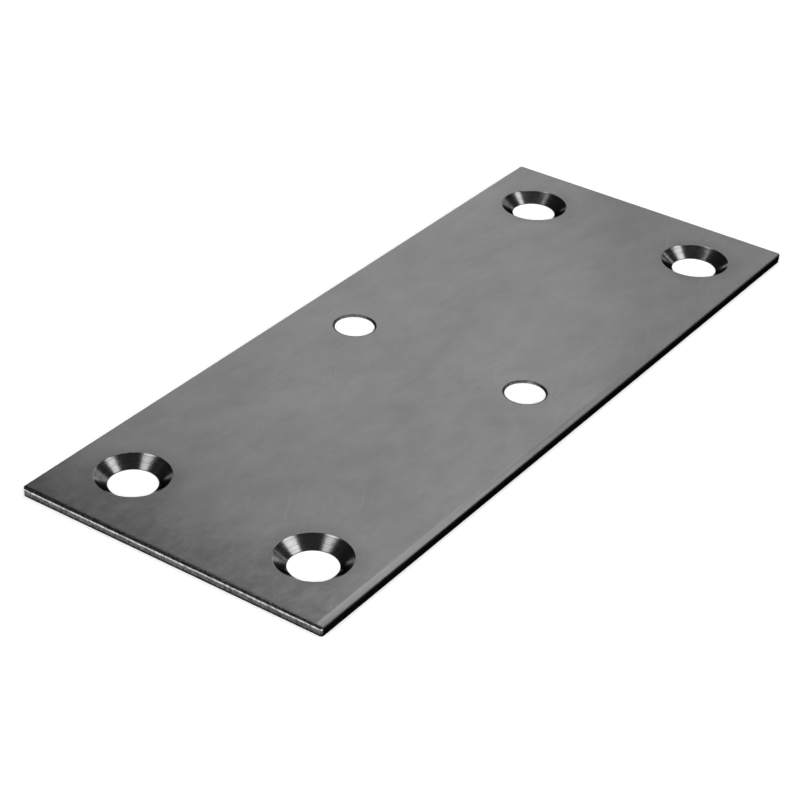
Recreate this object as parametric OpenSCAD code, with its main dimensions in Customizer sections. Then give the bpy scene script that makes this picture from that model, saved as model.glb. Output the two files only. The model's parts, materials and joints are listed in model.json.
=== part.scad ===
// Flat steel bench plate, sheared and punched from one sheet, with countersunk corner holes.
// It lies face up, centred on the origin, with its long side along X and its underside at z = 0.

/* [Plate] */
// Length of the plate
plate_length = 125; // [90:1:250]
// Width of the plate
plate_width = 50; // [42:1:120]
// Thickness of the sheet
plate_thickness = 1.6; // [1.2:0.1:3]
// Radius of the four corners, seen from above
corner_radius = 0.45; // [0.45:0.05:4]

/* [Tight edges: both ends and the back long side] */
// Radius of the rolled-over lip that the shear leaves along the top of these edges
tight_roll_radius = 0.4; // [0.2:0.05:0.5]

/* [Broad edge: the front long side] */
// Radius of the shallow roll that the face makes towards the front side
broad_roll_radius = 2.6; // [1:0.1:4]
// How far the shallow roll turns down before its small lip, in degrees
broad_roll_angle = 26; // [5:1:30]
// Radius of the small lip between the shallow roll and the wall
broad_lip_radius = 0.12; // [0.08:0.01:0.2]

/* [Sheared walls] */
// Height of the bright, square band below each rolled lip
burnish_height = 0.35; // [0.1:0.05:0.5]
// How far the torn face below the bright band leans back at the underside
edge_fracture_lean = 0.07; // [0.02:0.01:0.15]

/* [Countersunk corner holes] */
// From a short edge to the hole centres
corner_hole_end_margin = 11.25; // [10:0.25:20]
// From a long edge to the hole centres
corner_hole_side_margin = 9.75; // [8.5:0.25:12]
// Diameter of the hole where the screw passes through
screw_hole_diameter = 7; // [4:0.1:8]
// Diameter of the countersink at the top face
countersink_diameter = 10.8; // [9:0.1:14]
// Height of the straight land left under the countersink
countersink_land = 0.12; // [0.05:0.01:0.6]

/* [Plain middle holes] */
// Diameter of the plain holes
middle_hole_diameter = 6; // [4:0.1:9]
// Radius of the lip that the punch rolls over round each plain hole
hole_roll_radius = 0.3; // [0.1:0.05:0.5]
// How far the torn wall of a plain hole opens out at the underside
hole_fracture_lean = 0.07; // [0.02:0.01:0.15]

/* [Hidden] */
$fn = 96;
// Reach of each cutter beyond the faces that it cuts
overshoot = 1;
corner_hole_x = plate_length / 2 - corner_hole_end_margin;
corner_hole_y = plate_width / 2 - corner_hole_side_margin;
countersink_slope = (countersink_diameter - screw_hole_diameter) / 2 / (plate_thickness - countersink_land);
// The height at which a sheared wall turns from torn to bright, below a lip this deep
function fracture_top(lip_depth) = plate_thickness - lip_depth - burnish_height;

// Half of the plate's section, from its middle line out to one sheared wall. The face turns down
// in a broad roll of the given angle, and then in a small lip that is tangent to it and to the wall.
module half_section(half_span, roll_radius, roll_angle, lip_radius) {
    roll_width = roll_radius * sin(roll_angle) + lip_radius * (1 - sin(roll_angle));
    lip_depth = roll_radius - (roll_radius - lip_radius) * cos(roll_angle);
    roll_start = half_span - roll_width;
    lip_x = half_span - lip_radius;
    lip_z = plate_thickness - lip_depth;
    wedge_reach = roll_radius + overshoot;
    polygon([
        [0, 0],
        [half_span - edge_fracture_lean, 0],
        [half_span, fracture_top(lip_depth)],
        [half_span, lip_z],
        [roll_start + roll_radius * sin(roll_angle), lip_z + lip_radius * cos(roll_angle)],
        [roll_start, plate_thickness],
        [0, plate_thickness]
    ]);
    translate([lip_x, lip_z])
        circle(r = lip_radius);
    intersection() {
        square([half_span, plate_thickness]);
        translate([roll_start, plate_thickness - roll_radius])
            intersection() {
                circle(r = roll_radius);
                polygon([
                    [0, 0],
                    [0, wedge_reach],
                    [wedge_reach * sin(roll_angle), wedge_reach * cos(roll_angle)]
                ]);
            }
    }
}

// One side of the plate, from its middle line out to a wall that faces +X and runs along Y
module sheared_side(span, length, roll_radius, roll_angle, lip_radius) {
    rotate([90, 0, 0])
        translate([0, 0, -length / 2])
            linear_extrude(height = length)
                half_section(span / 2, roll_radius, roll_angle, lip_radius);
}

// A side whose lip is a quarter turn of one radius, halfway round which its two arcs meet
module tight_side(span, length) {
    sheared_side(span, length, tight_roll_radius, 45, tight_roll_radius);
}

// The outline seen from above, with its rounded corners
module outline() {
    square([plate_length - 2 * corner_radius, plate_width], center = true);
    square([plate_length, plate_width - 2 * corner_radius], center = true);
    for (x = [-1, 1], y = [-1, 1])
        translate([x * (plate_length / 2 - corner_radius), y * (plate_width / 2 - corner_radius)])
            circle(r = corner_radius);
}

// The sheared blank, before any hole. Its four walls meet in mitres at the corners.
module blank() {
    intersection() {
        for (side = [0, 180])
            rotate([0, 0, side])
                tight_side(plate_length, plate_width);
        union() {
            rotate([0, 0, 90])
                tight_side(plate_width, plate_length);
            rotate([0, 0, -90])
                sheared_side(plate_width, plate_length, broad_roll_radius, broad_roll_angle, broad_lip_radius);
        }
        linear_extrude(height = plate_thickness)
            outline();
    }
}

// Tool that cuts a screw hole, its land and its countersink in one turn
module countersink_tool() {
    screw_hole_radius = screw_hole_diameter / 2;
    rotate_extrude()
        polygon([
            [0, -overshoot],
            [screw_hole_radius, -overshoot],
            [screw_hole_radius, countersink_land],
            [countersink_diameter / 2 + overshoot * countersink_slope, plate_thickness + overshoot],
            [0, plate_thickness + overshoot]
        ]);
}

// Punch for a plain hole: a rolled lip at the top, a bright bore and a torn wall that opens out
module punch_tool() {
    bore_radius = middle_hole_diameter / 2;
    lip_radius = bore_radius + hole_roll_radius;
    lean_rate = hole_fracture_lean / fracture_top(hole_roll_radius);
    rotate_extrude()
        difference() {
            polygon([
                [0, -overshoot],
                [bore_radius + hole_fracture_lean + overshoot * lean_rate, -overshoot],
                [bore_radius, fracture_top(hole_roll_radius)],
                [bore_radius, plate_thickness - hole_roll_radius],
                [lip_radius, plate_thickness - hole_roll_radius],
                [lip_radius, plate_thickness + overshoot],
                [0, plate_thickness + overshoot]
            ]);
            translate([lip_radius, plate_thickness - hole_roll_radius])
                circle(r = hole_roll_radius);
        }
}

module plate() {
    color([0.56, 0.56, 0.57])
        difference() {
            blank();
            for (x = [-corner_hole_x, corner_hole_x], y = [-corner_hole_y, corner_hole_y])
                translate([x, y, 0])
                    countersink_tool();
            for (y = [-corner_hole_y, corner_hole_y])
                translate([0, y, 0])
                    punch_tool();
        }
}

plate();
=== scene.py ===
# A flat bench plate of sheared, countersunk and punched sheet steel, on a pale studio floor.
# The plate is worked out in millimetres and becomes metres when its mesh is made. Materials, lamps and
# the stage are in metres.
import json
import math
from collections import namedtuple

import bmesh
import bpy
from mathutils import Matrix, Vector, noise


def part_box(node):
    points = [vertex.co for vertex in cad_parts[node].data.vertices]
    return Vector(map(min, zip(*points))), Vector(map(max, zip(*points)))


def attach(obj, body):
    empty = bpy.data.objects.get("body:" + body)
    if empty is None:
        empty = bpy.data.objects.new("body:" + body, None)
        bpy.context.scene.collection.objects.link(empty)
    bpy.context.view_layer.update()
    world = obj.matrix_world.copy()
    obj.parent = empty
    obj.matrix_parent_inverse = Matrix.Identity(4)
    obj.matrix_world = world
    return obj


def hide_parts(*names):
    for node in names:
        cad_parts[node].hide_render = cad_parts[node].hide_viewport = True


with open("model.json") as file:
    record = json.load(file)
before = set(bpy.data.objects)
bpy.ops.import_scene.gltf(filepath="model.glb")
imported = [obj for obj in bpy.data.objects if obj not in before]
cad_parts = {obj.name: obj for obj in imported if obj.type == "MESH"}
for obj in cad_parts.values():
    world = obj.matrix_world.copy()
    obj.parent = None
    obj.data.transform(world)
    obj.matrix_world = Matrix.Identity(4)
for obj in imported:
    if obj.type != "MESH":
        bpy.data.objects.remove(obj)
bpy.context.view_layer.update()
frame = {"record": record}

MM = 0.001

# Sizes that the frame gives
plate_low, plate_high = (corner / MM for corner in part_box("plate"))
LENGTH, WIDTH, THICKNESS = plate_high - plate_low
MOUNTS = {mount["name"]: mount["dims"] for mount in frame["record"]["mounts"]}
CORNER_HOLES = MOUNTS["corner_screw_holes"]
MIDDLE_HOLES = MOUNTS["middle_holes"]
HOLE_X = CORNER_HOLES["spacing_x_mm"] / 2
HOLE_Y = CORNER_HOLES["spacing_y_mm"] / 2

# The sheared edges: tight along both ends and the back, broad along the front
CORNER_RADIUS = 0.45
LEAST_CORNER_RADIUS = 0.2
TIGHT_ROLL_RADIUS = 0.4
TIGHT_ROLL_ANGLE = math.radians(45)
BROAD_ROLL_RADIUS = 2.6
BROAD_ROLL_ANGLE = math.radians(26)
BROAD_LIP_RADIUS = 0.12
LATE_ROLL_TILT = math.radians(28)
BURNISH_HEIGHT = 0.35
BRIGHT_SHARE = 0.6
RIDGE_HEIGHT = 0.08
FRACTURE_LEAN = 0.07
TEAR_DEPTH = 0.025
BORE_TEAR_SHARE = 0.2

# The holes
COUNTERSINK_RADIUS = 5.4
COUNTERSINK_LAND = 0.12
COUNTERSINK_BREAK = 0.08
HOLE_ROLL_RADIUS = 0.3

# The fineness of the mesh. A support row keeps each flat face flat up to its rim. A flat face is a grid
# with a square patch round each hole, which stops short of the plate's ends and sides.
EDGE_PITCH = 0.16
HOLE_COLUMNS = 160
CORNER_STEPS = 8
ROLL_STEPS = 7
LIP_STEPS = 5
BURNISH_STEPS = 3
TEAR_STEPS = 5
CONE_STEPS = 10
BREAK_STEPS = 3
SUPPORT = 0.04
PATCH = 7.5
PATCH_STEPS = 12
PATCH_RINGS = (0.4, 0.75, 1)
PATCH_RIM = 0.5
LONG_GAP_STEPS = 22
CROSS_GAP_STEPS = 10
END_STRIP = 2.2
SIDE_STRIP = 2
SHARP_ANGLE = math.radians(36)
TEAR_CIRCLE_RADIUS = 3

# One row of points of a sheared wall. wander is its share of the torn line's rise and fall, tear is its
# share of the tears' depth, and finish names the surface between it and the next row down.
Row = namedtuple("Row", "inset height wander tear finish")

# The surfaces, and which of them each part of a sheared wall has. late_roll is what the roll turns to
# beyond
# LATE_ROLL_TILT, and foot is the strip just above the underside. The near-black finishes given here to the
# late roll, lip and foot of the ends and back, to the whole front wall, and the darker hole_lip are painted
# shade.
FINISHES = ("face", "underside", "rolled", "lip", "burnished", "ridge", "torn",
            "painted_shade_lip", "painted_shade_wall", "hole_lip", "bore", "cone", "land")
# On the ends and the back, the late roll, the lip and the foot take the near-black lip finish, which is
# painted shade.
TIGHT_FINISHES = {"roll": "rolled", "late_roll": "lip", "lip": "lip", "burnish": "burnished",
                  "ridge": "ridge", "tear": "torn", "foot": "lip"}
# Along the front, the lip and the whole sheared wall are painted near-black: painted shade.
BROAD_FINISHES = {"roll": "rolled", "late_roll": "rolled", "lip": "painted_shade_lip", "burnish": "painted_shade_wall",
                  "ridge": "painted_shade_wall", "tear": "painted_shade_wall", "foot": "painted_shade_wall"}
# Round the middle holes the whole rolled rim takes the darker hole_lip finish, which is painted shade.
BORE_FINISHES = {"roll": "hole_lip", "late_roll": "hole_lip", "lip": "hole_lip", "burnish": "bore",
                 "ridge": "bore", "tear": "bore", "foot": "bore"}


def steps_between(start, stop, count):
    """Numbers from start to stop in equal steps, with both ends."""
    return [start + (stop - start) * step / count for step in range(count + 1)]


def sheared_rows(roll_radius, roll_angle, lip_radius, finishes):
    """Rows from the flat face over the lip and down a sheared wall to the underside."""
    roll_width = roll_radius * math.sin(roll_angle) + lip_radius * (1 - math.sin(roll_angle))
    lip_bottom = THICKNESS - roll_radius + (roll_radius - lip_radius) * math.cos(roll_angle)
    tear_top = lip_bottom - BURNISH_HEIGHT
    ridge_bottom = tear_top - RIDGE_HEIGHT
    rows = [Row(roll_width + SUPPORT, THICKNESS, 0, 0, finishes["roll"])]
    for tilt in steps_between(0, roll_angle, ROLL_STEPS):
        inset = roll_width - roll_radius * math.sin(tilt)
        height = THICKNESS - roll_radius * (1 - math.cos(tilt))
        # Beyond LATE_ROLL_TILT the roll takes the late_roll finish, which on the ends and back is the
        # near-black lip: painted shade.
        finish = finishes["roll" if tilt < LATE_ROLL_TILT else "late_roll"]
        rows.append(Row(inset, height, 0, 0, finish))
    rows[-1] = rows[-1]._replace(finish=finishes["lip"])
    for tilt in steps_between(roll_angle, math.pi / 2, LIP_STEPS)[1:]:
        inset = lip_radius * (1 - math.sin(tilt))
        rows.append(Row(inset, lip_bottom + lip_radius * math.cos(tilt), 0, 0, finishes["lip"]))
    rows[-1] = rows[-1]._replace(finish=finishes["burnish"])
    for share in steps_between(0, 1, BURNISH_STEPS)[1:]:
        finish = finishes["burnish" if share < BRIGHT_SHARE else "ridge"]
        rows.append(Row(0, lip_bottom - BURNISH_HEIGHT * share, share, 0, finish))
    for share in steps_between(0, 1, TEAR_STEPS):
        tear = 0.35 + 0.65 * math.sin(math.pi * share)
        height = ridge_bottom * (1 - share)
        rows.append(Row(FRACTURE_LEAN * share, height, 1 - share, tear, finishes["tear"]))
    # The two bands above the underside take the foot finish, which is near-black painted shade on the outer
    # edge and the bore's own finish in the holes.
    rows[-3:-1] = [row._replace(finish=finishes["foot"]) for row in rows[-3:-1]]
    rows[-1] = rows[-1]._replace(finish="underside")
    rows.append(Row(FRACTURE_LEAN + SUPPORT, 0, 0, 0, "underside"))
    return rows


def torn_place(row, x, y):
    """The inset and height of a row where its wall passes x, y, with the tears and the uneven torn line."""
    lean = row.height * 0.4
    broad = noise.noise(Vector(((x + lean) * 0.9, (y + lean) * 0.9, 3)))
    fine = noise.noise(Vector(((x + lean) * 2.9, (y + lean) * 2.9, 7)))
    depth = max(0.0, 0.45 + 0.6 * broad + 0.8 * fine)
    slow = noise.noise(Vector((x * 0.45, y * 0.45, 11)))
    quick = noise.noise(Vector((x * 2.3, y * 2.3, 13)))
    return row.inset + TEAR_DEPTH * row.tear * depth, row.height + row.wander * (0.05 * slow + 0.03 * quick)


class Shell:
    """Points, faces and the finish of each face, gathered before they become one mesh."""

    def __init__(self):
        self.points = []
        self.faces = []
        self.finishes = []

    def ring(self, points):
        """Adds points and returns their indices."""
        start = len(self.points)
        self.points.extend(points)
        return list(range(start, len(self.points)))

    def face(self, corners, finish):
        self.faces.append(corners)
        self.finishes.append(finish)

    def band(self, upper, lower, finishes):
        """Joins two rings of as many points, with one finish for each column."""
        for column, finish in enumerate(finishes):
            after = (column + 1) % len(upper)
            self.face((upper[column], upper[after], lower[after], lower[column]), finish)

    def zip(self, first, second, centre, finish):
        """Joins two rings of different counts with triangles, going once round their centre."""
        rings = [self.sorted_round(ring, centre) for ring in (first, second)]
        place = [0, 0]
        while place[0] < len(first) or place[1] < len(second):
            nexts = [self.angle_at(ring, at + 1) if at < len(ring) else math.inf
                     for ring, at in zip(rings, place)]
            mover = 0 if nexts[0] <= nexts[1] else 1
            ring, other = rings[mover], rings[1 - mover]
            start, stop = (ring[(place[mover] + step) % len(ring)][1] for step in (0, 1))
            self.face((start, stop, other[place[1 - mover] % len(other)][1]), finish)
            place[mover] += 1

    def sorted_round(self, ring, centre):
        """The (angle, index) pairs of a ring in order of angle about its centre."""
        pairs = []
        for index in ring:
            x, y = self.points[index][:2]
            pairs.append((math.atan2(y - centre[1], x - centre[0]) % math.tau, index))
        return sorted(pairs)

    @staticmethod
    def angle_at(pairs, place):
        """The angle at a place that may have passed the end of the ring."""
        return pairs[place % len(pairs)][0] + math.tau * (place // len(pairs))


def outline_columns():
    """(side, share along its straight, share round its corner) for every column, anticlockwise.
    Sides 0 to 3 are the right end, the back, the left end and the front, each with the corner after it."""
    columns = []
    for side in range(4):
        straight = (LENGTH if side % 2 else WIDTH) - 2 * CORNER_RADIUS
        steps = round(straight / EDGE_PITCH)
        columns += [(side, step / steps, 0) for step in range(steps)]
        columns += [(side, 1, step / CORNER_STEPS) for step in range(CORNER_STEPS)]
    return columns


def front_share(column):
    """1 along the broad front edge, 0 along the tight ones, and between them round its two corners."""
    side, _, turn = column
    blend = math.sin(math.pi / 2 * turn) ** 2
    return {2: blend, 3: 1 - blend}.get(side, 0)


def outline_point(column, inset, front_inset):
    """Where a column crosses the outline that lies inset within the plate's own, or front_inset
    within it along the front."""
    side, straight, turn = column
    radius = max(CORNER_RADIUS - inset, LEAST_CORNER_RADIUS)
    left, right = -LENGTH / 2 + inset + radius, LENGTH / 2 - inset - radius
    front, back = -WIDTH / 2 + front_inset + radius, WIDTH / 2 - inset - radius
    centres = [Vector(c) for c in ((right, front), (right, back), (left, back), (left, front))]
    angle = math.pi / 2 * (side + turn)
    start, stop = centres[side], centres[(side + 1) % 4]
    return start.lerp(stop, straight) + radius * Vector((math.cos(angle), math.sin(angle)))


def build_edge(shell):
    """The sheared wall round the plate. Returns its top and bottom rings."""
    tight_rows = sheared_rows(TIGHT_ROLL_RADIUS, TIGHT_ROLL_ANGLE, TIGHT_ROLL_RADIUS, TIGHT_FINISHES)
    broad_rows = sheared_rows(BROAD_ROLL_RADIUS, BROAD_ROLL_ANGLE, BROAD_LIP_RADIUS, BROAD_FINISHES)
    columns = outline_columns()
    shares = [front_share(column) for column in columns]
    walls = [outline_point(column, 0, 0) for column in columns]
    rings = []
    for tight, broad in zip(tight_rows, broad_rows):
        points = []
        for column, share, wall in zip(columns, shares, walls):
            tight_inset, tight_height = torn_place(tight, *wall)
            broad_inset, broad_height = torn_place(broad, *wall)
            spot = outline_point(column, tight_inset, broad_inset)
            points.append((*spot, tight_height + (broad_height - tight_height) * share))
        rings.append(shell.ring(points))
    for tight, broad, upper, lower in zip(tight_rows, broad_rows, rings, rings[1:]):
        shell.band(upper, lower, [broad.finish if share > 0.5 else tight.finish for share in shares])
    return rings[0], rings[-1]


def circle_points(centre, radius_and_height):
    """Points round a hole's axis. radius_and_height gives both for the place x, y, which lies on a
    circle that is the same for every row, so that a tear stays in line down the wall."""
    points = []
    for angle in steps_between(0, math.tau, HOLE_COLUMNS)[:-1]:
        out = Vector((math.cos(angle), math.sin(angle)))
        radius, height = radius_and_height(*(centre + TEAR_CIRCLE_RADIUS * out))
        points.append((*(centre + radius * out), height))
    return points


def build_countersink(shell, centre):
    """A turned cone with a broken rim above and a thin straight land below. Returns its end rings."""
    hole_radius = CORNER_HOLES["hole_r_mm"]
    slope = math.atan2(THICKNESS - COUNTERSINK_LAND, COUNTERSINK_RADIUS - hole_radius)
    rim = COUNTERSINK_RADIUS + COUNTERSINK_BREAK * math.tan(slope / 2)
    rows = [(rim + SUPPORT, THICKNESS, "face")]
    for tilt in steps_between(0, slope, BREAK_STEPS):
        drop = COUNTERSINK_BREAK * (1 - math.cos(tilt))
        rows.append((rim - COUNTERSINK_BREAK * math.sin(tilt), THICKNESS - drop, "cone"))
    cone_top = Vector(rows[-1][:2])
    cone_bottom = Vector((hole_radius, COUNTERSINK_LAND))
    for share in steps_between(0, 1, CONE_STEPS)[1:-1]:
        rows.append((*cone_top.lerp(cone_bottom, share), "cone"))
    rows += [(*cone_bottom, "land"), (hole_radius, 0, "underside"), (hole_radius + SUPPORT, 0, "underside")]
    rings = [shell.ring(circle_points(centre, lambda x, y, row=row: row[:2])) for row in rows]
    for row, upper, lower in zip(rows, rings, rings[1:]):
        shell.band(upper, lower, [row[2]] * HOLE_COLUMNS)
    return rings[0], rings[-1]


def build_punched_hole(shell, centre):
    """A plain hole whose wall is the sheared section bent round it. Returns its end rings."""
    rows = sheared_rows(HOLE_ROLL_RADIUS, TIGHT_ROLL_ANGLE, HOLE_ROLL_RADIUS, BORE_FINISHES)
    rows = [row._replace(tear=row.tear * BORE_TEAR_SHARE) for row in rows]

    def place(row):
        def radius_and_height(x, y):
            inset, height = torn_place(row, x, y)
            return MIDDLE_HOLES["hole_r_mm"] + inset, height
        return radius_and_height

    rings = [shell.ring(circle_points(centre, place(row))) for row in rows]
    for row, upper, lower in zip(rows, rings, rings[1:]):
        shell.band(upper, lower, [row.finish] * HOLE_COLUMNS)
    return rings[0], rings[-1]


def grid_lines(stops, counts):
    """Grid lines through every stop, with each count of steps between two of them."""
    lines = []
    for start, stop, count in zip(stops, stops[1:], counts):
        lines += steps_between(start, stop, count)[:-1]
    return lines + [stops[-1]]


def build_flat(shell, height, edge_ring, holes, finish):
    """One flat face: a grid between the edge's ring and those of the holes. A hole is (centre, ring)."""
    end_x, end_y = LENGTH / 2 - END_STRIP, WIDTH / 2 - SIDE_STRIP
    x_stops = (-end_x, -HOLE_X - PATCH, -HOLE_X + PATCH, -PATCH,
               PATCH, HOLE_X - PATCH, HOLE_X + PATCH, end_x)
    y_stops = (-end_y, -HOLE_Y - PATCH, -HOLE_Y + PATCH, HOLE_Y - PATCH, HOLE_Y + PATCH, end_y)
    xs = grid_lines(x_stops, (1, PATCH_STEPS, LONG_GAP_STEPS, PATCH_STEPS, LONG_GAP_STEPS, PATCH_STEPS, 1))
    ys = grid_lines(y_stops, (1, PATCH_STEPS, CROSS_GAP_STEPS, PATCH_STEPS, 1))
    grid = [[shell.ring([(x, y, height)])[0] if clear_of(holes, x, y) else None for y in ys] for x in xs]
    for i, j in ((i, j) for i in range(len(xs) - 1) for j in range(len(ys) - 1)):
        if clear_of(holes, (xs[i] + xs[i + 1]) / 2, (ys[j] + ys[j + 1]) / 2):
            shell.face((grid[i][j], grid[i + 1][j], grid[i + 1][j + 1], grid[i][j + 1]), finish)
    rim = grid_square(grid, 0, 0, len(xs) - 1, len(ys) - 1)
    shell.zip(rim, edge_ring, (0, 0), finish)
    for centre, hole_ring in holes:
        left = nearest(xs, centre.x - PATCH)
        low = nearest(ys, centre.y - PATCH)
        outer = grid_square(grid, left, low, PATCH_STEPS, PATCH_STEPS)
        build_patch(shell, centre, outer, hole_ring, finish)


def clear_of(holes, x, y):
    """True where a place isn't inside the square patch of any hole."""
    within = PATCH - 0.01
    return all(abs(x - centre.x) > within or abs(y - centre.y) > within for centre, _ in holes)


def nearest(values, wanted):
    """The index of the value that lies nearest to the one wanted."""
    return min(range(len(values)), key=lambda index: abs(values[index] - wanted))


def grid_square(grid, left, low, wide, tall):
    """The grid points round a rectangle, anticlockwise from its lower left corner."""
    right, high = left + wide, low + tall
    low_side = [grid[i][low] for i in range(left, right)]
    right_side = [grid[right][j] for j in range(low, high)]
    high_side = [grid[i][high] for i in range(right, left, -1)]
    left_side = [grid[left][j] for j in range(high, low, -1)]
    return low_side + right_side + high_side + left_side


def build_patch(shell, centre, outer, hole_ring, finish):
    """Turns the square of grid points round a hole into rings about it."""
    first = Vector(shell.points[hole_ring[0]])
    height = first.z
    rim_radius = (first.xy - centre).length + PATCH_RIM
    spokes = [Vector(shell.points[index]).xy - centre for index in outer]
    ring = outer
    for share in PATCH_RINGS:
        spots = [centre + spoke.lerp(spoke.normalized() * rim_radius, share) for spoke in spokes]
        inner = shell.ring([(*spot, height) for spot in spots])
        shell.band(ring, inner, [finish] * len(ring))
        ring = inner
    shell.zip(ring, hole_ring, centre, finish)


def build_plate(materials):
    """The whole plate as one closed mesh, in the place of the plain CAD one."""
    shell = Shell()
    top_edge, bottom_edge = build_edge(shell)
    top_holes, bottom_holes = [], []
    for x in (-HOLE_X, 0, HOLE_X):
        for y in (-HOLE_Y, HOLE_Y):
            centre = Vector((x, y))
            top, bottom = build_countersink(shell, centre) if x else build_punched_hole(shell, centre)
            top_holes.append((centre, top))
            bottom_holes.append((centre, bottom))
    build_flat(shell, THICKNESS, top_edge, top_holes, "face")
    build_flat(shell, 0, bottom_edge, bottom_holes, "underside")

    mesh = bpy.data.meshes.new("finished_plate")
    mesh.from_pydata([Vector(point) * MM for point in shell.points], [], shell.faces)
    for name in FINISHES:
        mesh.materials.append(materials[name])
    mesh.polygons.foreach_set("material_index", [FINISHES.index(name) for name in shell.finishes])
    shape = bmesh.new()
    shape.from_mesh(mesh)
    bmesh.ops.recalc_face_normals(shape, faces=shape.faces)
    shape.to_mesh(mesh)
    shape.free()
    mesh.shade_smooth()
    mesh.set_sharp_from_angle(angle=SHARP_ANGLE)
    plate = bpy.data.objects.new("finished_plate", mesh)
    bpy.context.scene.collection.objects.link(plate)
    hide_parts("plate")
    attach(plate, "root")


class Nodes:
    """Short calls for wiring the nodes of one material."""

    def __init__(self, name):
        self.material = bpy.data.materials.new(name)
        self.material.use_nodes = True
        self.tree = self.material.node_tree
        self.shader = self.tree.nodes["Principled BSDF"]
        self.place = self.add("ShaderNodeTexCoord").outputs["Object"]

    def add(self, kind, inputs=None, **settings):
        """A node with its settings made, and its inputs linked or set."""
        node = self.tree.nodes.new(kind)
        for name, value in settings.items():
            setattr(node, name, value)
        for name, value in (inputs or {}).items():
            self.feed(node.inputs[name], value)
        return node

    def feed(self, socket, value):
        """Links an output to a socket, or sets the socket to a plain value."""
        if isinstance(value, bpy.types.NodeSocket):
            self.tree.links.new(value, socket)
        else:
            socket.default_value = value

    def math(self, operation, *values):
        node = self.add("ShaderNodeMath", operation=operation)
        for socket, value in zip(node.inputs, values):
            self.feed(socket, value)
        return node.outputs[0]

    def total(self, first, *others):
        for other in others:
            first = self.math("ADD", first, other)
        return first

    def remap(self, value, low, high, to_low, to_high):
        ends = {"Value": value, "From Min": low, "From Max": high, "To Min": to_low, "To Max": to_high}
        return self.add("ShaderNodeMapRange", ends, clamp=True).outputs[0]

    def noise(self, per_metre, detail=2, roughness=0.5, turn=0):
        """Noise with this many cells a metre along X, Y and Z, turned about Z by some degrees."""
        aims = {"Vector": self.place, "Scale": per_metre, "Rotation": (0, 0, math.radians(turn))}
        mapping = self.add("ShaderNodeMapping", aims, vector_type="TEXTURE" if turn else "POINT")
        if turn:
            mapping.inputs["Scale"].default_value = [1 / value for value in per_metre]
        inputs = {"Vector": mapping.outputs[0], "Scale": 1, "Detail": detail, "Roughness": roughness}
        return self.add("ShaderNodeTexNoise", inputs).outputs[0]

    def grey(self, value):
        """A faintly cool grey of this value."""
        inputs = {"Red": value, "Green": value, "Blue": self.math("MULTIPLY", value, 1.012)}
        return self.add("ShaderNodeCombineColor", inputs).outputs[0]

    def hole_offset(self):
        """The level vector from the nearest corner hole's axis, in metres."""
        x, y, _ = self.add("ShaderNodeSeparateXYZ", {"Vector": self.place}).outputs
        gaps = [self.math("SUBTRACT", self.math("ABSOLUTE", value), hole * MM)
                for value, hole in ((x, HOLE_X), (y, HOLE_Y))]
        return self.add("ShaderNodeCombineXYZ", {"X": gaps[0], "Y": gaps[1], "Z": 0.0}).outputs[0]

    def length(self, vector):
        return self.add("ShaderNodeVectorMath", {0: vector}, operation="LENGTH").outputs["Value"]

    def bump(self, height, depth):
        """A normal from a height between 0 and 1 that is this many metres deep."""
        return self.add("ShaderNodeBump", {"Height": height, "Distance": depth, "Strength": 1.0}).outputs[0]

    def metal(self, tone, roughness, normal=None, edge_tint=1.0):
        self.feed(self.shader.inputs["Base Color"], self.grey(tone))
        self.feed(self.shader.inputs["Metallic"], 1.0)
        self.feed(self.shader.inputs["Roughness"], roughness)
        self.feed(self.shader.inputs["Specular Tint"], (edge_tint, edge_tint, edge_tint, 1))
        if normal:
            self.feed(self.shader.inputs["Normal"], normal)
        return self.material


def rolled_steel(name, tone, roughness, worn=False):
    """Cold-rolled sheet: satin, slightly cloudy, with a faint grain along its length."""
    nodes = Nodes(name)
    clouds = nodes.noise((45, 75, 45), detail=2)
    blotches = nodes.noise((190, 320, 190), detail=3)
    mottle = nodes.noise((900, 1300, 900), detail=2)
    grain = nodes.noise((80, 3000, 80), detail=1)
    parts = [nodes.remap(clouds, 0.3, 0.7, -0.016, 0.016), nodes.remap(blotches, 0.3, 0.7, -0.014, 0.014),
             nodes.remap(mottle, 0.3, 0.7, -0.007, 0.007), nodes.remap(grain, 0.3, 0.7, -0.004, 0.004)]
    if worn:
        parts += wear(nodes)
    rough = nodes.total(roughness, nodes.remap(clouds, 0.3, 0.7, 0.015, -0.015))
    return nodes.metal(nodes.total(tone, *parts), rough, nodes.bump(nodes.total(grain, mottle), 0.0000004))


def wear(nodes):
    """Changes of tone on the upper face: dull halos round the corner holes, scuffs towards the left
    end, fine scratches in patches, and dark specks."""
    halos = nodes.remap(nodes.length(nodes.hole_offset()), 0.0078, 0.0056, 0.0, -0.07)
    smudges = nodes.noise((260, 260, 260), detail=3)
    x = nodes.add("ShaderNodeSeparateXYZ", {"Vector": nodes.place}).outputs["X"]
    left_end = nodes.remap(x, -0.048, -LENGTH / 2 * MM, 0.0, 1.0)
    scuffs = nodes.noise((420, 650, 420), detail=5, roughness=0.65)
    patches = nodes.remap(nodes.noise((55, 55, 55)), 0.5, 0.62, 0.0, 1.0)
    scratches = nodes.noise((60, 5000, 60), detail=1, turn=28)
    specks = nodes.noise((1500, 2200, 1500), detail=1)
    return [nodes.math("MULTIPLY", halos, smudges),
            nodes.math("MULTIPLY", left_end, nodes.remap(scuffs, 0.35, 0.7, 0.0, -0.085)),
            nodes.math("MULTIPLY", patches, nodes.remap(scratches, 0.68, 0.78, 0.0, 0.06)),
            nodes.remap(specks, 0.72, 0.8, 0.0, -0.05)]


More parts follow.
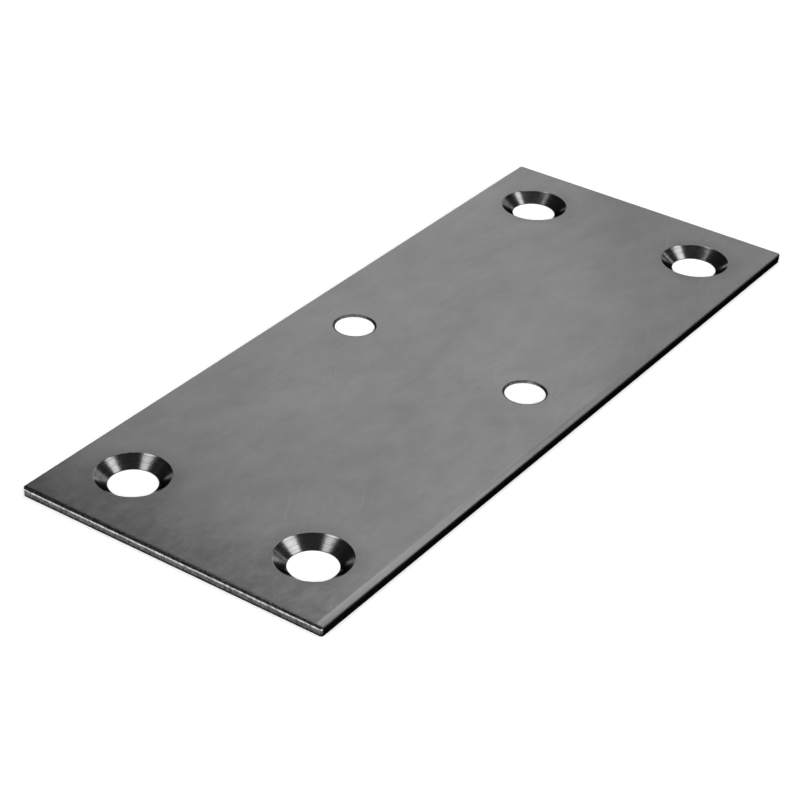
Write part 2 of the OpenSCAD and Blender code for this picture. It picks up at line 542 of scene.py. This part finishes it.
def sheared_steel(name, tone, roughness, relief, edge_tint=1.0, spread=0.3):
    """A sheared surface. Its fine uneven marks are relief metres deep, and they change its tone by up to
    spread, which is a share of it."""
    nodes = Nodes(name)
    marks = nodes.noise((2600, 2600, 2200), detail=3, roughness=0.6)
    tones = nodes.remap(marks, 0.36, 0.64, (1 - spread) * tone, (1 + spread) * tone)
    return nodes.metal(tones, roughness, nodes.bump(marks, relief), edge_tint)


def turned_steel(name, tone, roughness):
    """A turned cone, with fine rings round each corner hole and the streaks of its cutter."""
    nodes = Nodes(name)
    offset = nodes.hole_offset()
    gap = nodes.length(offset)
    ring_inputs = {"W": gap, "Scale": 5200.0, "Detail": 2.0}
    rings = nodes.add("ShaderNodeTexNoise", ring_inputs, noise_dimensions="1D").outputs[0]
    chatter = nodes.noise((700, 700, 700), detail=3, roughness=0.6)
    ring_tones = nodes.remap(rings, 0.3, 0.7, -0.05, 0.05)
    tones = nodes.total(tone, ring_tones, nodes.remap(chatter, 0.3, 0.7, -0.04, 0.04))
    return nodes.metal(tones, roughness, nodes.bump(nodes.total(rings, chatter), 0.000004), edge_tint=0.0)


def make_materials():
    return {
        "face": rolled_steel("cold_rolled_face", 0.29, 0.23, worn=True),
        "underside": rolled_steel("cold_rolled_underside", 0.27, 0.28),
        "rolled": rolled_steel("rolled_over_lip", 0.3, 0.23),
        # The near-black lip is painted shade on the rolled-over edge and the foot of the wall, not the
        # steel's own tone.
        "lip": sheared_steel("lip_wall", 0.025, 0.3, 0.000008, edge_tint=0.3, spread=0.7),
        "burnished": sheared_steel("burnished_band", 0.5, 0.28, 0.000008, spread=0.5),
        "ridge": sheared_steel("torn_ridge", 0.13, 0.4, 0.00001, spread=0.5),
        "torn": sheared_steel("torn_band", 0.1, 0.5, 0.00002, spread=0.6),
        # The front lip and wall are near-black as painted shade.
        "painted_shade_lip": sheared_steel("front_lip_painted_shade", 0.018, 0.3, 0.000002, edge_tint=0.3),
        "painted_shade_wall": sheared_steel("front_wall_painted_shade", 0.012, 0.45, 0.000006, edge_tint=0.2),
        # The hole_lip's dark tone is painted shade on the rolled rim round the middle holes.
        "hole_lip": sheared_steel("hole_lip", 0.1, 0.3, 0.000002, edge_tint=0.3, spread=0.6),
        # The bore's near-white tone is partly its burnished shine and partly a painted reflection of the
        # pale floor.
        "bore": sheared_steel("punched_bore", 0.92, 0.3, 0.0000005, spread=0.03),
        "cone": turned_steel("turned_cone", 0.29, 0.17),
        # The land's near-black tone is painted shade at the foot of the cone.
        "land": sheared_steel("turned_land", 0.03, 0.3, 0.000002),
    }


def make_camera():
    """The photograph's camera, solved from the plate's outline and holes."""
    data = bpy.data.cameras.new("camera")
    data.lens = 102.24
    data.sensor_width = 36
    data.clip_start = 0.01
    data.clip_end = 20
    camera = bpy.data.objects.new("camera", data)
    camera.location = Vector((-243.804, -154.279, 174.975)) * MM
    camera.rotation_euler = [math.radians(angle) for angle in (57.8587, -2.3958, -55.111)]
    bpy.context.scene.collection.objects.link(camera)
    bpy.context.scene.camera = camera


def softbox(name, azimuth, elevation, wide, tall, distance, radiance):
    """A soft light that is this many degrees wide and tall, seen from the plate's centre, and stands
    this far off in metres. An azimuth counts from +X towards +Y."""
    lamp = bpy.data.lights.new(name, "AREA")
    lamp.shape = "RECTANGLE"
    lamp.size = 2 * distance * math.tan(math.radians(wide) / 2)
    lamp.size_y = 2 * distance * math.tan(math.radians(tall) / 2)
    lamp.energy = radiance * math.pi * lamp.size * lamp.size_y
    box = bpy.data.objects.new(name, lamp)
    turn, tilt = math.radians(azimuth), math.radians(elevation)
    out = Vector((math.cos(turn) * math.cos(tilt), math.sin(turn) * math.cos(tilt), math.sin(tilt)))
    box.location = distance * out
    box.rotation_mode = "QUATERNION"
    box.rotation_quaternion = (-out).to_track_quat("-Z", "Y")
    bpy.context.scene.collection.objects.link(box)


def stage_material(name, tone, glow, far_glow):
    """A matt stage surface that adds some white of its own for the camera, metal and glass.
    The white grows from glow under the lamps to far_glow beyond their reach."""
    nodes = Nodes(name)
    rays = nodes.add("ShaderNodeLightPath").outputs
    seen = nodes.math("MAXIMUM", rays["Is Camera Ray"], rays["Is Glossy Ray"])
    seen = nodes.math("MAXIMUM", seen, rays["Is Transmission Ray"])
    nodes.feed(nodes.shader.inputs["Base Color"], (tone, tone, tone, 1))
    nodes.feed(nodes.shader.inputs["Roughness"], 1.0)
    nodes.feed(nodes.shader.inputs["Specular IOR Level"], 0.0)
    nodes.feed(nodes.shader.inputs["Emission Color"], (1, 1, 1, 1))
    lamp_reach, far_reach = 0.4, 1.6
    white = nodes.remap(nodes.length(nodes.place), lamp_reach, far_reach, glow, far_glow)
    nodes.feed(nodes.shader.inputs["Emission Strength"], nodes.math("MULTIPLY", seen, white))
    return nodes.material


def stage_piece(name, points, faces, material):
    mesh = bpy.data.meshes.new(name)
    mesh.from_pydata(points, [], faces)
    mesh.materials.append(material)
    piece = bpy.data.objects.new(name, mesh)
    bpy.context.scene.collection.objects.link(piece)


def make_stage():
    """A pale floor, and a low pale wall round it behind the lamps."""
    half_floor = 3
    corners = [(-half_floor, -half_floor, 0), (half_floor, -half_floor, 0),
               (half_floor, half_floor, 0), (-half_floor, half_floor, 0)]
    stage_piece("floor", corners, [(0, 1, 2, 3)], stage_material("pale_floor", 0.8, 0.35, 0.95))
    wall_radius, wall_height, sides = 2.9, 0.47, 64
    points = []
    for angle in steps_between(0, math.tau, sides)[:-1]:
        x, y = wall_radius * math.cos(angle), wall_radius * math.sin(angle)
        points += [(x, y, 0), (x, y, wall_height)]
    faces = []
    for side in range(sides):
        low, next_low = 2 * side, 2 * ((side + 1) % sides)
        faces.append((low, next_low, next_low + 1, low + 1))
    stage_piece("backdrop", points, faces, stage_material("pale_backdrop", 0.5, 0.9, 0.9))


def make_lights():
    world = bpy.data.worlds.new("studio")
    world.use_nodes = True
    world.node_tree.nodes["Background"].inputs["Color"].default_value = (0.02, 0.02, 0.02, 1)
    bpy.context.scene.world = world
    softbox("front_box", -121, 33, 48, 38, 1.0, 2.6)
    softbox("left_box", -181, 29, 50, 38, 1.0, 2.6)
    softbox("right_box", -58, 36, 24, 46, 1.0, 2.3)
    softbox("far_left_window", 146, 60, 21, 14, 1.0, 2.0)
    softbox("back_panel", 38, 21.5, 23.5, 35, 0.5, 0.75)
    softbox("back_top_panel", 33, 43, 15, 8, 0.5, 0.72)
    softbox("back_right_panel", 8, 22, 30, 38, 0.5, 0.57)
    softbox("back_high_panel", 8, 48.5, 34, 11, 1.0, 1.25)
    softbox("low_left_panel", 134, 22, 36, 28, 0.8, 0.45)
    softbox("low_right_panel", -29, 13, 32, 20, 0.8, 1.1)
    softbox("overhead_box", 32, 79, 40, 20, 1.0, 2.9)


make_camera()
build_plate(make_materials())
make_stage()
make_lights()
bpy.context.scene.view_settings.view_transform = "Standard"
